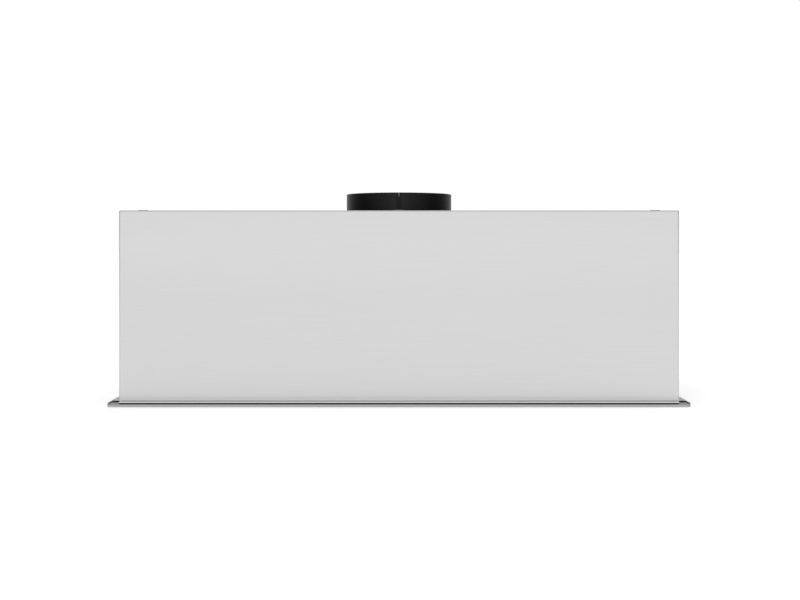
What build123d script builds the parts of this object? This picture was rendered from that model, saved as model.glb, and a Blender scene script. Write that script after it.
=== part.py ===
from build123d import *
import os
from math import acos, cos, degrees, radians, sin, sqrt

# A hood insert that is let into a cabinet over a cooktop, in millimetres.
# X runs to the right seen from the front, Y to the rear and Z up.
# The origin is at the middle of the face frame's underside, on the duct's axis.

# Overall size
frame_width = 762.0
frame_depth = 330.0
frame_edge = 4.1
frame_overhang = 12.5
body_height = 251.6
collar_diameter = 150.0
collar_rise = 27.2

# Housing sheet and its bends
sheet = 1.2
bend_inside = 0.8
corner_inside = 1.4
lip = 16.0
return_width = 12.0
flange_overhang = 11.0
flange_setback = 12.0
foot_bend = 2.4
gasket_thickness = 1.6
gasket_recess = 1.5
roof_seam = 0.2
roof_seam_margin = 12.0

# Clearances and the overrun of every cut
slip = 0.3
running = 0.05
overrun = 5.0

# Screws: wide low heads on the roof, small pan heads elsewhere
roof_screw_head = 13.2
roof_screw_rise = 0.6
roof_screw_shaft = 4.0
roof_screw_length = 8.0
roof_screw_inset = 30.5
screw_head = 7.4
screw_rise = 2.2
screw_shaft = 3.6
screw_length = 7.0
recess_width = 0.9
recess_depth_share = 0.6
recess_length_share = 0.6
head_round_share = 0.55
return_screw_shares = (0.15, 0.5, 0.85)
frame_rear_shares = (-0.6, 0, 0.6)
neck_screw_share = 0.68

# Holes that the installer uses
side_hole = 5.0
side_hole_spacing = 220.0
side_hole_height = 46.0
hanging_hole = 9.0
hanging_side_inset = 68.5
hanging_rear_inset = 52.5

# Face frame
frame_corner = 3.0
hem_width = 20.0
hem_round = 1.5
side_lip_height = 1.4
side_lip_sheet = 1.0
upstand_height = 20.0
control_strip = 66.0
side_margin = 20.0
rear_margin = 10.0
centre_bar = 24.0
frame_screw_height = 16.0
frame_screw_inset = 62.5

# Grease filters
filter_gap = 2.4
filter_rise = 1.4
filter_height = 12.0
filter_sheet = 0.8
filter_corner = 3.0
filter_fold = 2.0
filter_side_grip = 12.0
filter_rear_grip = 14.0
filter_front_rail = 34.0
baffle_grip = 6.0
baffle_count = 10
baffle_side_inset = 4.6
baffle_width_share = 0.69
baffle_height = 6.0
pivot_radius = 2.0
pivot_inset = 4.0
pivot_rise = 6.6
ear_thickness = 2.0
ear_reach = 6.0
ear_crown = 5.0
cup_width = 72.0
cup_depth = 20.0
cup_height = 9.6
cup_wall = 0.8
cup_setback = 5.0
cup_flange = 3.0
tongue_width = 20.0
tongue_height = 10.0
catch_width = 24.0
catch_foot = 14.0
catch_sheet = 0.8
catch_grip = 6.5
catch_clearance = 0.4

# Duct collar and its two check flaps
collar_wall = 2.0
collar_flange_reach = 16.0
collar_flange_thickness = 2.0
collar_bead = 0.6
collar_bead_height = 2.8
spigot_inset = 1.0
rim_chamfer = 0.8
pad_width = 21.0
pad_groove = 0.8
pad_groove_depth = 0.4
axle_radius = 1.0
axle_depth = 5.75
axle_skin = 0.8
spring_slit = 0.2
ledge_width = 3.0
ledge_thickness = 1.5
flap_seat_gap = 0.1
flap_thickness = 1.2
flap_gap = 3.2
flap_edge_gap = 1.0
knuckle_radius = 2.5
knuckle_length = 12.0
rib_height = 0.8
rib_width = 1.6
knuckle_shares = {"left": (-0.30, 0.10), "right": (-0.10, 0.30)}
rib_turn_shares = (0.72, 0.86, 1.0, 1.14, 1.28)
rib_middle_share = 0.56
rib_length_share = 0.7

# Blower scroll and fan wheel
scroll_sheet = 1.2
scroll_half = 75.0
scroll_flange = 14.0
neck_half = 73.0
wheel_rear_space = 107.5
wheel_height_share = 0.569
wheel_radius = 65.0
wheel_bore = 54.0
wheel_half = 60.0
wheel_ring = 2.0
wheel_disc = 2.0
blade_count = 40
blade_sheet = 0.8
blade_bow = 2.4
blade_lean_share = 0.05
cutoff_gap = 7.0
hub_radius = 11.0
hub_back = 10.0
hub_front = 14.0
scroll_steps = 12
throat_round = 8.0
throat_end = 62.0
inlet_sheet = 1.2
inlet_flange_radius = 74.0
inlet_screw_radius = 68.0
inlet_screw_count = 3
inlet_screw_start_share = 0.25

# Motor
motor_radius = 40.0
motor_length = 62.0
motor_wall = 1.6
motor_round = 4.0
shaft_radius = 4.0
shaft_tail = 2.4
shaft_nose = 7.0
shaft_chamfer = 0.5
bearing_radius = 11.0
bearing_length = 7.0
bearing_race = 2.2
bearing_seat_wall = 2.0
stator_length = 26.0
stator_bore = 23.0
rotor_gap = 0.6
winding_length = 7.0
winding_width = 11.0
winding_round_share = 0.25
end_ring = 4.0
motor_screw_radius = 20.0
spider_sheet = 2.0
spider_hub = 28.0
spider_arm = 12.0
nut_flats = 13.0
nut_length = 6.5

# Wiring box, with what it holds, and the cable bush in the roof
box_left = 140.0
box_right = 280.0
box_depth = 90.0
box_rear_gap = 7.5
box_drop = 60.0
box_sheet = 1.0
box_flange = 10.0
bush_inset = 28.0
bush_bore = 7.5
bush_wall = 3.5
bush_lip = 3.0
bush_lip_thickness = 2.5
bush_snap = 1.5
bush_snap_length = 5.0
terminal_size = (50.0, 22.0, 20.0)
terminal_count = 5
terminal_screw_radius = 2.4
terminal_row_share = 0.25
capacitor_radius = 13.0
capacitor_length = 60.0
capacitor_round = 2.2
driver_size = (70.0, 24.0, 40.0)
content_inset = 52.0
lead_radius = 3.0
small_lead_radius = 2.0
lead_bend = 12.0
small_lead_bend = 3.4
lead_wall_gap = 6.0
lead_entry_share = 0.25

# Controls under the front strip
bezel_width = 176.0
bezel_depth = 40.0
bezel_thickness = 1.5
bezel_corner = 5.0
bezel_overlap = 5.0
bezel_boss = 4.0
button_radius = 7.0
button_spacing = 28.0
button_gap = 0.3
button_proud = 1.0
button_round = 0.8
button_travel = 2.0
button_flange = 1.5
button_flange_thickness = 1.2
button_seat = 0.05
stem_radius = 2.5
stem_length = 7.0
switch_size = 12.0
switch_height = 10.0
switch_stand = 0.5
board_thickness = 1.6
cover_width = 184.0
cover_depth = 46.0
cover_height = 26.0
cover_wall = 1.6
cover_round = 3.0
button_names = ("power", "light", "speed_1", "speed_2", "speed_3")

# Lights under the front strip
light_offset = 250.0
light_opening = 20.0
light_lip = 28.0
light_tube = 24.2
light_wall = 1.5
light_tube_height = 22.0
lens_thickness = 2.0
lens_shoulder = 8.6
light_board_thickness = 1.6
led_size = 3.0
led_thickness = 0.8
led_ring_share = 0.62
led_count = 8

# Places that follow from the sizes above
half_turn = 180
full_turn = 2 * half_turn
bend_outside = bend_inside + sheet
corner_outside = corner_inside + sheet
half_width = frame_width / 2 - frame_overhang
half_depth = frame_depth / 2 - frame_overhang
foot = frame_edge + gasket_thickness
foot_top = foot + sheet
body_top = foot + body_height
roof_top = body_top - sheet
roof = roof_top - sheet
edge_gap = bend_inside + slip
tiny = sheet / 100
roof_screw_spread = 2 * (half_width - roof_screw_inset)
frame_screw_spread = 2 * (half_depth - frame_screw_inset)
hanging_spread = 2 * (half_width - hanging_side_inset)
hanging_depth = 2 * (half_depth - hanging_rear_inset)

field = frame_edge - sheet
upstand_x = half_width - sheet - slip
upstand_front = -half_depth + sheet + slip
upstand_rear = half_depth - 2 * sheet - slip
window_front = upstand_front + sheet + control_strip
window_rear = upstand_rear - sheet - rear_margin
window_inner = centre_bar / 2
window_outer = upstand_x - sheet - side_margin
strip_y = (upstand_front + sheet + window_front) / 2

filter_top = filter_rise + filter_height
filter_front = window_front + filter_gap
filter_rear = window_rear - filter_gap
filter_inner = window_inner + filter_gap
filter_outer = window_outer - filter_gap
pivot_y = filter_rear - pivot_inset
pivot_z = filter_rise + pivot_rise

collar_radius = collar_diameter / 2
collar_bore = collar_radius - collar_wall
rim = body_top + collar_rise
axle_z = rim - axle_depth
spigot_radius = collar_radius - spigot_inset
wheel_y = half_depth - wheel_rear_space
wheel_z = roof * wheel_height_share
scroll_side = scroll_half + scroll_sheet
inlet_face = scroll_side + inlet_sheet
motor_left = -inlet_face
motor_right = motor_left + motor_length
box_floor = roof - box_drop
box_rear = half_depth - box_rear_gap
box_front = box_rear - box_depth
content_x = box_right - content_inset
bush_x = box_left + bush_inset
bush_y = box_rear - box_depth / 2
bezel_base = field - bezel_thickness
bezel_top = field + bezel_boss
button_base = bezel_base - button_proud
flange_base = bezel_top + button_seat
stem_base = flange_base + button_flange_thickness
switch_base = stem_base + button_travel + switch_stand
board_base = switch_base + switch_height
cover_top = frame_edge + cover_height
light_base = field - light_wall
lens_base = light_base + light_wall
lens_radius = light_opening + (light_wall - slip)
board_shelf = lens_base + lens_shoulder

inlet_screw_angles = [
    full_turn * (index + inlet_screw_start_share) / inlet_screw_count
    for index in range(inlet_screw_count)
]
wheel_axis = Axis((0, wheel_y, wheel_z), (1, 0, 0))
wheel_plane = Plane(origin=(0, wheel_y, wheel_z), x_dir=(1, 0, 0), z_dir=(0, -1, 0))


def slab(x_span, y_span, z_span, mode=Mode.ADD):
    """A block between two corners, in the part that is being built."""
    spans = [sorted(span) for span in (x_span, y_span, z_span)]
    with Locations(tuple((low + high) / 2 for low, high in spans)):
        Box(*(high - low for low, high in spans), mode=mode)


def both(reach):
    """A span from minus to plus the same reach."""
    return (-reach, reach)


def rod(start, end, radius, mode=Mode.ADD):
    """A round bar, or with Mode.SUBTRACT a round hole, between two points."""
    run = Vector(*end) - Vector(*start)
    with BuildSketch(Plane(origin=start, z_dir=run)) as section:
        Circle(radius)
    extrude(section.sketch, amount=run.length, mode=mode)


def near(value, target):
    return abs(value - target) < tiny


def bent_box(width, depth, base, top, corner_radius, top_radius):
    """A block whose front corners and front and side top edges are bends."""
    with BuildPart() as block:
        slab(both(width / 2), both(depth / 2), (base, top))
        fillet(block.edges().filter_by(Axis.Z).group_by(Axis.Y)[0], corner_radius)
        fillet(block.faces().sort_by(Axis.Z)[-1].edges().sort_by(Axis.Y)[:-1], top_radius)
    return block.part


def pan(x_span, y_span, z_span, corner_radius, fold_radius):
    """A block with rounded upright edges and rounded lower edges."""
    with BuildPart() as block:
        slab(x_span, y_span, z_span)
        fillet(block.edges().filter_by(Axis.Z), corner_radius)
        fillet(block.faces().sort_by(Axis.Z)[0].edges(), fold_radius)
    return block.part


def pan_screw(head, rise, shaft, length):
    """A screw along Z with its head's seat at the origin and a cross recess."""
    with BuildPart() as screw:
        Cylinder(head / 2, rise, align=(Align.CENTER, Align.CENTER, Align.MIN))
        fillet(screw.faces().sort_by(Axis.Z)[-1].edges(), rise * head_round_share)
        Cylinder(shaft / 2, length, align=(Align.CENTER, Align.CENTER, Align.MAX))
        reach = shaft * recess_length_share
        depth = (rise * (1 - recess_depth_share), rise + overrun)
        slab(both(reach), both(recess_width / 2), depth, mode=Mode.SUBTRACT)
        slab(both(recess_width / 2), both(reach), depth, mode=Mode.SUBTRACT)
    return screw.part


def keep(part, label):
    """Name a finished piece and write its file."""
    part.label = label
    export_step(part, f"parts/{label}.step")


def screw_group(label, screw, places):
    """Identical screws in one node, each head facing along its place's axis."""
    with BuildPart() as group:
        with Locations(*places):
            add(screw)
    keep(group.part, label)


def ring_places(radius, angles, x, facing):
    """Places on a circle about the fan's axis, facing along X."""
    places = []
    for angle in angles:
        y = wheel_y + radius * cos(radians(angle))
        z = wheel_z + radius * sin(radians(angle))
        places.append(Plane(origin=(x, y, z), z_dir=(facing, 0, 0)))
    return places


os.makedirs("parts", exist_ok=True)

# Places of the holes that several pieces share
roof_screw_y = half_depth - lip / 2
front_screws = [(x, -roof_screw_y) for x in (-roof_screw_spread / 2, 0, roof_screw_spread / 2)]
rear_lip_screws = [(x, roof_screw_y) for x in (-roof_screw_spread / 2, 0, roof_screw_spread / 2)]
roof_hole = roof_screw_shaft / 2 + slip
screw_hole = screw_shaft / 2 + slip / 2
return_x = half_width - return_width / 2
return_heights = [foot + body_height * share for share in return_screw_shares]
frame_side_screws = [(side * half_width, y) for side in (-1, 1) for y in both(frame_screw_spread / 2)]
frame_rear_screws = [share * half_width for share in frame_rear_shares]
collar_screw_radius = collar_radius + collar_flange_reach / 2 + collar_bead / 2
collar_screws_at = [
    (collar_screw_radius * cos(radians(angle)), collar_screw_radius * sin(radians(angle)))
    for angle in (45, 135, 225, 315)
]
neck_screws_at = [
    (x, y)
    for x in both(scroll_side + (scroll_flange - scroll_sheet) / 2)
    for y in both(neck_half * neck_screw_share)
]

# Body shell: front and both sides in one bent sheet
with BuildPart() as body_shell:
    add(bent_box(2 * half_width, 2 * half_depth, foot, body_top, corner_outside, bend_outside))
    inner_width = 2 * (half_width - sheet)
    inner_depth = 2 * (half_depth - sheet)
    hollow = bent_box(inner_width, inner_depth, foot - overrun, roof_top, corner_inside, bend_inside)
    add(hollow, mode=Mode.SUBTRACT)
    roof_window = both(half_width - lip)
    slab(roof_window, (-half_depth + lip, half_depth + overrun), (roof, body_top + overrun), Mode.SUBTRACT)
    rear_window = both(half_width - return_width)
    rear_cut = (half_depth - 2 * sheet, half_depth + overrun)
    slab(rear_window, rear_cut, (foot - overrun, body_top + overrun), Mode.SUBTRACT)
    flange_front = -half_depth - flange_overhang
    slab(both(half_width - corner_outside), (flange_front, -half_depth + sheet), (foot, foot_top))
    for side in (-1, 1):
        strip = (side * (half_width - sheet), side * (half_width + flange_overhang))
        slab(strip, both(half_depth - flange_setback), (foot, foot_top))
    at_foot = body_shell.edges().filter_by(lambda edge: near(edge.center().Z, foot_top))
    front_bend = at_foot.filter_by(Axis.X).filter_by(lambda edge: near(edge.center().Y, -half_depth))
    side_bends = at_foot.filter_by(Axis.Y).filter_by(lambda edge: near(abs(edge.center().X), half_width))
    fillet(front_bend.sort_by(Edge.length)[-1:] + side_bends.sort_by(Edge.length)[-2:], foot_bend)
    for x, y in front_screws:
        rod((x, y, roof), (x, y, body_top + overrun), roof_hole, Mode.SUBTRACT)
    for side in (-1, 1):
        inside = side * (half_width - sheet - overrun)
        outside = side * (half_width + overrun)
        for y in both(side_hole_spacing / 2):
            rod((inside, y, side_hole_height), (outside, y, side_hole_height), side_hole / 2, Mode.SUBTRACT)
        for y in both(frame_screw_spread / 2):
            rod((inside, y, frame_screw_height), (outside, y, frame_screw_height), screw_hole, Mode.SUBTRACT)
        for z in return_heights:
            x = side * return_x
            rod((x, half_depth - 2 * sheet, z), (x, half_depth + overrun, z), screw_hole, Mode.SUBTRACT)
keep(body_shell.part, "body_shell")

# Rear panel: back sheet inside the returns with its foot flange, and a strip along its top edge
with BuildPart() as rear_panel:
    back = (half_depth - 2 * sheet, half_depth - sheet)
    slab(both(half_width - sheet - edge_gap), back, (foot, roof_top))
    strip_height = (roof_top + running, body_top)
    slab(both(half_width - lip - slip), (half_depth - lip, back[1]), strip_height)
    slab(both(half_width - return_width - slip), (back[0], half_depth + flange_overhang), (foot, foot_top))
    rear_edges = rear_panel.edges().filter_by(Axis.X).filter_by(lambda edge: near(edge.center().Y, back[1]))
    fillet(rear_edges.sort_by(Axis.Z)[-1:], bend_inside)
    fillet(rear_edges.filter_by(lambda edge: near(edge.center().Z, foot_top)), foot_bend)
    for x, y in rear_lip_screws:
        rod((x, y, roof), (x, y, body_top + overrun), roof_hole, Mode.SUBTRACT)
    for side in (-1, 1):
        for z in return_heights:
            x = side * return_x
            rod((x, back[0] - overrun, z), (x, half_depth, z), screw_hole, Mode.SUBTRACT)
    for x in frame_rear_screws:
        start = (x, back[0] - overrun, frame_screw_height)
        rod(start, (x, half_depth, frame_screw_height), screw_hole, Mode.SUBTRACT)
keep(rear_panel.part, "rear_panel")

# Top panel: roof sheets under the lips, with collar and blower on the middle one
with BuildPart() as top_panel:
    roof_front = -half_depth + sheet + edge_gap
    roof_rear = half_depth - 2 * sheet - slip
    slab(both(half_width - sheet - edge_gap), (roof_front, roof_rear), (roof, roof_top))
    with BuildSketch(Plane.XY.offset(roof)):
        Circle(spigot_radius + slip)
        with Locations((bush_x, bush_y)):
            Circle(bush_bore + bush_wall + slip)
        with GridLocations(hanging_spread, hanging_depth, 2, 2):
            Circle(hanging_hole / 2)
        with Locations(*front_screws, *rear_lip_screws):
            Circle(roof_hole)
        with Locations(*collar_screws_at, *neck_screws_at):
            Circle(screw_hole)
    extrude(amount=sheet, mode=Mode.SUBTRACT)
    for x in both(collar_radius + collar_flange_reach + roof_seam_margin):
        seam = (x - roof_seam / 2, x + roof_seam / 2)
        slab(seam, both(half_depth), (roof - overrun, roof_top + overrun), Mode.SUBTRACT)
keep(top_panel.part, "top_panel")

# Screws of the housing
small_screw = pan_screw(screw_head, screw_rise, screw_shaft, screw_length)
roof_screw = pan_screw(roof_screw_head, roof_screw_rise, roof_screw_shaft, roof_screw_length)
roof_places = [Plane(origin=(x, y, body_top)) for x, y in front_screws + rear_lip_screws]
screw_group("top_screws", roof_screw, roof_places)
rear_places = [
    Plane(origin=(side * return_x, half_depth, z), z_dir=(0, 1, 0))
    for side in (-1, 1)
    for z in return_heights
]
screw_group("rear_screws", small_screw, rear_places)
frame_places = [
    Plane(origin=(x, y, frame_screw_height), z_dir=(x, 0, 0)) for x, y in frame_side_screws
]
frame_places += [
    Plane(origin=(x, half_depth - sheet, frame_screw_height), z_dir=(0, 1, 0))
    for x in frame_rear_screws
]
screw_group("frame_screws", small_screw, frame_places)

# Foam gasket between the foot flange and the face frame, notched like the flange
with BuildPart() as flange_gasket:
    gasket_reach = flange_overhang - gasket_recess
    slab(both(half_width), both(half_depth), (frame_edge, foot))
    slab(both(half_width - corner_outside), both(half_depth + gasket_reach), (frame_edge, foot))
    slab(both(half_width + gasket_reach), both(half_depth - flange_setback), (frame_edge, foot))
    gasket_bore = (-half_depth + sheet, half_depth - 2 * sheet)
    slab(both(half_width - sheet), gasket_bore, (frame_edge - overrun, foot + overrun), Mode.SUBTRACT)
keep(flange_gasket.part, "flange_gasket")

# Face frame: a sheet hemmed round its rim, with an upstand inside the shell and low lips at both sides
with BuildPart() as face_frame:
    with BuildSketch():
        RectangleRounded(frame_width, frame_depth, frame_corner)
    extrude(amount=frame_edge)
    level_faces = face_frame.faces().filter_by(Axis.Z)
    fillet(level_faces.edges(), hem_round)
    with BuildSketch(Plane.XY.offset(sheet)):
        Rectangle(frame_width - 2 * hem_round - sheet, frame_depth - 2 * hem_round - sheet)
    extrude(amount=field - sheet, mode=Mode.SUBTRACT)
    for side in (-1, 1):
        lip_x = (side * (frame_width / 2 - side_lip_sheet), side * frame_width / 2)
        lip_z = (frame_edge - hem_round, frame_edge + side_lip_height)
        slab(lip_x, both(frame_depth / 2 - frame_corner), lip_z)
    hem_window_x = frame_width / 2 - hem_width
    hem_window_y = frame_depth / 2 - hem_width
    slab(both(hem_window_x), both(hem_window_y), (-overrun, field), Mode.SUBTRACT)
    slab(both(upstand_x), (upstand_front, upstand_rear), (frame_edge, frame_edge + upstand_height))
    uprights = face_frame.edges().filter_by(Axis.Z)
    fillet(uprights.filter_by(lambda edge: near(abs(edge.center().X), upstand_x)), corner_inside)
    inside_y = (upstand_front + sheet, upstand_rear - sheet)
    above = (frame_edge, frame_edge + upstand_height + overrun)
    slab(both(upstand_x - sheet), inside_y, above, Mode.SUBTRACT)
    through = (field - overrun, frame_edge + overrun)
    for side in (-1, 1):
        window = (side * window_inner, side * window_outer)
        slab(window, (window_front, window_rear), through, Mode.SUBTRACT)
    with BuildSketch(Plane.XY.offset(field)):
        with Locations((0, strip_y)):
            Rectangle(bezel_width - 2 * bezel_overlap, bezel_depth - 2 * bezel_overlap)
        with Locations((-light_offset, strip_y), (light_offset, strip_y)):
            Circle(light_tube + slip)
    extrude(amount=sheet, mode=Mode.SUBTRACT)
    for side in (-1, 1):
        for edge, outward in ((window_inner, -1), (window_outer, 1)):
            ear = (side * (edge + outward * slip), side * (edge + outward * (slip + ear_thickness)))
            slab(ear, (pivot_y - ear_reach, pivot_y + ear_reach), (frame_edge, pivot_z + ear_crown))
            start = (side * (edge - outward * slip), pivot_y, pivot_z)
            end = (side * (edge + outward * (ear_thickness + 2 * slip)), pivot_y, pivot_z)
            rod(start, end, pivot_radius + running, Mode.SUBTRACT)
    for x, y in frame_side_screws:
        out = (x, y, frame_screw_height)
        inside = (x * (upstand_x - sheet - overrun) / half_width, y, frame_screw_height)
        rod(inside, out, screw_hole, Mode.SUBTRACT)
    for x in frame_rear_screws:
        start = (x, upstand_rear - sheet - overrun, frame_screw_height)
        rod(start, (x, half_depth, frame_screw_height), screw_hole, Mode.SUBTRACT)
keep(face_frame.part, "face_frame")


def make_filter(name, side):
    """One grease filter: folded frame, two layers of baffles, cup and catch."""
    span_x = sorted((side * filter_inner, side * filter_outer))
    middle = sum(span_x) / 2
    width = span_x[1] - span_x[0]
    span_y = (filter_front, filter_rear)
    cup_y = (filter_front + cup_setback, filter_front + cup_setback + cup_depth)
    cup_x = (middle - cup_width / 2, middle + cup_width / 2)

    with BuildPart() as frame:
        add(pan(span_x, span_y, (filter_rise, filter_top), filter_corner, filter_fold))
        inner_x = (span_x[0] + filter_sheet, span_x[1] - filter_sheet)
        inner_y = (span_y[0] + filter_sheet, span_y[1] - filter_sheet)
        inner_z = (filter_rise + filter_sheet, filter_top - filter_sheet)
        corner = filter_corner - filter_sheet
        fold = filter_fold - filter_sheet
        add(pan(inner_x, inner_y, inner_z, corner, fold), mode=Mode.SUBTRACT)
        through = (filter_rise - overrun, filter_top + overrun)
        open_x = (span_x[0] + filter_side_grip, span_x[1] - filter_side_grip)
        open_y = (span_y[0] + filter_front_rail, span_y[1] - filter_rear_grip)
        slab(open_x, open_y, through, Mode.SUBTRACT)
        hole_x = (cup_x[0] - slip, cup_x[1] + slip)
        hole_y = (cup_y[0] - slip, cup_y[1] + slip)
        slab(hole_x, hole_y, (filter_rise - overrun, inner_z[0]), Mode.SUBTRACT)
        tongue_x = (middle - tongue_width / 2, middle + tongue_width / 2)
        tongue_y = (filter_front, filter_front + filter_sheet)
        slab(tongue_x, tongue_y, (filter_top - filter_sheet, filter_top + tongue_height))
        reach = filter_gap + slip + ear_thickness
        rod((span_x[0] - reach, pivot_y, pivot_z), (inner_x[0], pivot_y, pivot_z), pivot_radius)
        rod((inner_x[1], pivot_y, pivot_z), (span_x[1] + reach, pivot_y, pivot_z), pivot_radius)
    keep(frame.part, f"filter_frame_{name}")

    pitch = (width - 2 * baffle_side_inset) / baffle_count
    channel = pitch * baffle_width_share
    baffle_y = (span_y[0] + filter_front_rail - baffle_grip, inner_y[1] - filter_fold)
    beyond_y = (baffle_y[0] - overrun, baffle_y[1] + overrun)
    with BuildPart() as baffles:
        for index in range(baffle_count):
            x = middle + (index - (baffle_count - 1) / 2) * pitch
            low = inner_z[0]
            slab((x - channel / 2, x + channel / 2), baffle_y, (low, low + baffle_height))
            hollow_x = (x - channel / 2 + filter_sheet, x + channel / 2 - filter_sheet)
            hollow_z = (low + filter_sheet, low + baffle_height + overrun)
            slab(hollow_x, beyond_y, hollow_z, Mode.SUBTRACT)
        for index in range(baffle_count - 1):
            x = middle + (index + 1 - baffle_count / 2) * pitch
            top = inner_z[1]
            with BuildSketch(Plane(origin=(x, baffle_y[0], top), z_dir=(0, -1, 0), x_dir=(1, 0, 0))):
                Rectangle(channel, baffle_height, align=(Align.CENTER, Align.MAX))
                with Locations((0, -filter_sheet)):
                    inner_size = (channel - 2 * filter_sheet, baffle_height)
                    Rectangle(*inner_size, align=(Align.CENTER, Align.MAX), mode=Mode.SUBTRACT)
            extrude(amount=-(baffle_y[1] - baffle_y[0]))
    keep(baffles.part, f"filter_baffles_{name}")

    with BuildPart() as cup:
        slab(cup_x, cup_y, (filter_rise, filter_rise + cup_height))
        rim_x = (cup_x[0] - cup_flange, cup_x[1] + cup_flange)
        rim_y = (cup_y[0] - cup_flange, cup_y[1] + cup_flange)
        slab(rim_x, rim_y, (filter_rise - cup_wall, filter_rise))
        hollow_x = (cup_x[0] + cup_wall, cup_x[1] - cup_wall)
        hollow_y = (cup_y[0] + cup_wall, cup_y[1] - cup_wall)
        hollow_z = (filter_rise - overrun, filter_rise + cup_height - cup_wall)
        slab(hollow_x, hollow_y, hollow_z, Mode.SUBTRACT)
    keep(cup.part, f"filter_handle_{name}")

    with BuildPart() as catch:
        across = (middle - catch_width / 2, middle + catch_width / 2)
        riser = (window_front - slip - catch_sheet, window_front - slip)
        crown = filter_top + tongue_height + catch_clearance + catch_sheet
        slab(across, (window_front - catch_foot, riser[1]), (frame_edge, frame_edge + catch_sheet))
        slab(across, riser, (frame_edge, crown))
        front_leaf = tongue_y[0] - catch_clearance - catch_sheet
        rear_leaf = tongue_y[1] + catch_clearance
        slab(across, (riser[0], rear_leaf + catch_sheet), (crown - catch_sheet, crown))
        for leaf in (front_leaf, rear_leaf):
            slab(across, (leaf, leaf + catch_sheet), (crown - catch_grip, crown))
    keep(catch.part, f"filter_catch_{name}")


make_filter("left", -1)
make_filter("right", 1)

# Duct collar: flange, tube with bead and chamfered rim, stop ledge, and grooves outside the axle's ends.
# The axle drops into slots inside the wall; a slit through the skin outside them lets the wall spring.
with BuildPart() as duct_collar:
    with BuildSketch(Plane.XZ):
        with BuildLine():
            flange_top = roof_top + collar_flange_thickness
            bead_top = flange_top + collar_bead_height
            outer = collar_radius
            Polyline(
                (collar_bore, roof),
                (spigot_radius, roof),
                (spigot_radius, roof_top),
                (outer + collar_flange_reach, roof_top),
                (outer + collar_flange_reach, flange_top),
                (outer + collar_bead, flange_top),
                (outer + collar_bead, bead_top),
                (outer, bead_top),
                (outer, rim - rim_chamfer),
                (outer - rim_chamfer, rim),
                (collar_bore, rim),
                close=True,
            )
        make_face()
    revolve(axis=Axis.Z)
    ledge_top = axle_z - flap_thickness / 2 - flap_seat_gap
    with BuildSketch(Plane.XY.offset(ledge_top)):
        Circle(collar_bore + collar_wall / 2)
        Circle(collar_bore - ledge_width, mode=Mode.SUBTRACT)
    extrude(amount=-ledge_thickness)
    far = collar_radius + overrun
    for x in (-pad_width / 2, 0, pad_width / 2):
        groove_x = (x - pad_groove / 2, x + pad_groove / 2)
        groove_floor = sqrt(collar_radius**2 - x**2) - pad_groove_depth
        for facing in (-1, 1):
            groove_y = (facing * groove_floor, facing * far)
            slab(groove_x, groove_y, (bead_top, rim + overrun), Mode.SUBTRACT)
    slot = axle_radius + running
    slot_reach = collar_radius - axle_skin
    slab(both(slot), both(slot_reach), (axle_z, rim + overrun), Mode.SUBTRACT)
    rod((0, -slot_reach, axle_z), (0, slot_reach, axle_z), slot, Mode.SUBTRACT)
    slab(both(spring_slit / 2), both(far), (axle_z, rim + overrun), Mode.SUBTRACT)
    for x, y in collar_screws_at:
        rod((x, y, roof), (x, y, flange_top + overrun), screw_hole, Mode.SUBTRACT)
keep(duct_collar.part, "duct_collar")
collar_places = [Plane(origin=(x, y, flange_top)) for x, y in collar_screws_at]
screw_group("collar_screws", small_screw, collar_places)

with BuildPart() as damper_axle:
    axle_end = collar_radius - axle_skin - slip
    rod((0, -axle_end, axle_z), (0, axle_end, axle_z), axle_radius)
keep(damper_axle.part, "damper_axle")


def make_flap(name, side):
    """A half-round flap with two knuckles on the axle and low ribs on top."""
    flap_radius = collar_bore - flap_edge_gap
    base = axle_z - flap_thickness / 2
    with BuildPart() as flap:
        with BuildSketch(Plane.XY.offset(base)):
            Circle(flap_radius)
            with Locations((-side * (flap_radius - flap_gap), 0)):
                Rectangle(2 * flap_radius, 2 * flap_radius, mode=Mode.SUBTRACT)
        extrude(amount=flap_thickness)
        with BuildSketch(Plane.XY.offset(base)):
            for share in rib_turn_shares:
                turn = half_turn * (share if side < 0 else 1 - share)
                with PolarLocations(flap_radius * rib_middle_share, 1, start_angle=turn):
                    Rectangle(flap_radius * rib_length_share, rib_width)
        extrude(amount=flap_thickness + rib_height)
        for share in knuckle_shares[name]:
            y = share * collar_diameter
            ends = (y - knuckle_length / 2, y + knuckle_length / 2)
            rod((0, ends[0], axle_z), (0, ends[1], axle_z), knuckle_radius)
            slab((0, side * (flap_gap + flap_thickness)), ends, (base, base + flap_thickness))
        bore = axle_radius + running
        rod((0, -collar_radius, axle_z), (0, collar_radius, axle_z), bore, Mode.SUBTRACT)
    keep(flap.part, f"damper_flap_{name}")


make_flap("left", -1)
make_flap("right", 1)

# Scroll: a spiral that opens from the cut-off at the neck's rear wall to its front wall
scroll_start = degrees(acos((neck_half - wheel_y) / (wheel_radius + cutoff_gap)))
scroll_turn = scroll_start + half_turn


def scroll_point(step, extra):
    """A point of the spiral, with the sheet's thickness added outwards."""
    share = step / scroll_steps
    small = wheel_radius + cutoff_gap
    radius = small + (wheel_y + neck_half - small) * share + extra
    angle = radians(scroll_start - scroll_turn * share)
    return (wheel_y + radius * cos(angle), wheel_z + radius * sin(angle))


def scroll_curve(extra):
    return [scroll_point(step, extra) for step in range(scroll_steps + 1)]


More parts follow.
